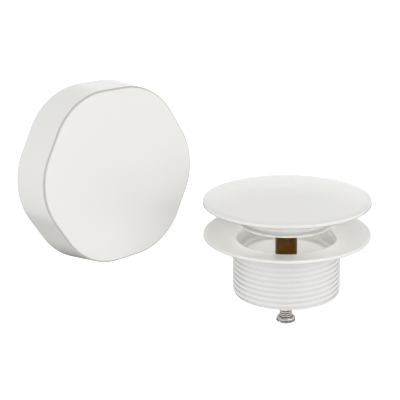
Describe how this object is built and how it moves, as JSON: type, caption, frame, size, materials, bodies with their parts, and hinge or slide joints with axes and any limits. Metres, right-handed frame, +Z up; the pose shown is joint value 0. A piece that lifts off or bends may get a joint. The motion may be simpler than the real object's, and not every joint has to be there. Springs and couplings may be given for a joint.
{
  "type": "bath waste and overflow",
  "caption": "Pop-up bath waste with a domed lift-out plug on a brass stem, beside its soft six-sided overflow knob, both in white enamel.",
  "frame": {"origin": "on the waste's axis, at the shoulder where the flange meets the threaded tail", "axes": "+Z up along the waste's axis, -Y the way the overflow knob faces, +X to the right seen from the front"},
  "size_m": [0.1316, 0.1175, 0.1092],
  "materials": {
    "enamel": "gloss white enamel",
    "white_plastic": "moulded, glossy",
    "brass": "raw, turned and darkened",
    "chrome": "plated",
    "acetal": "moulded, satin",
    "silicone": "pale, satin",
    "rubber": "matt black",
    "steel": "bright stainless"
  },
  "bodies": {
    "root": {"waste_flange": "enamel", "guide_bush": "acetal", "overflow_faceplate": "acetal", "spindle_bush": "acetal", "faceplate_gasket": "rubber", "faceplate_screws": "steel"},
    "plug": {"plug_cap": "enamel", "plug_body": "white_plastic", "plug_seal": "silicone", "seal_washer": "steel", "plug_stem": "brass", "stem_oring": "rubber", "height_screw": "chrome"},
    "knob": {"knob_shell": "enamel", "knob_socket": "brass", "knob_grub_screw": "steel", "drive_spindle": "brass", "thrust_washer": "acetal", "spindle_clip": "steel"}
  },
  "joints": [
    {"name": "knob_turn", "type": "hinge", "parent": "root", "child": "knob", "pos_m": [-0.0546, 0.0664, 0.031], "axis": [0, 0.9988, -0.0489], "range_deg": [0, 90]},
    {"name": "plug_lift", "type": "slide", "parent": "root", "child": "plug", "axis": [0, 0, 1], "range_m": [-0.0126, 0]}
  ],
  "couplings": [
    {"joint": "plug_lift", "follows": "knob_turn", "m_per_rad": -0.00802}
  ]
}
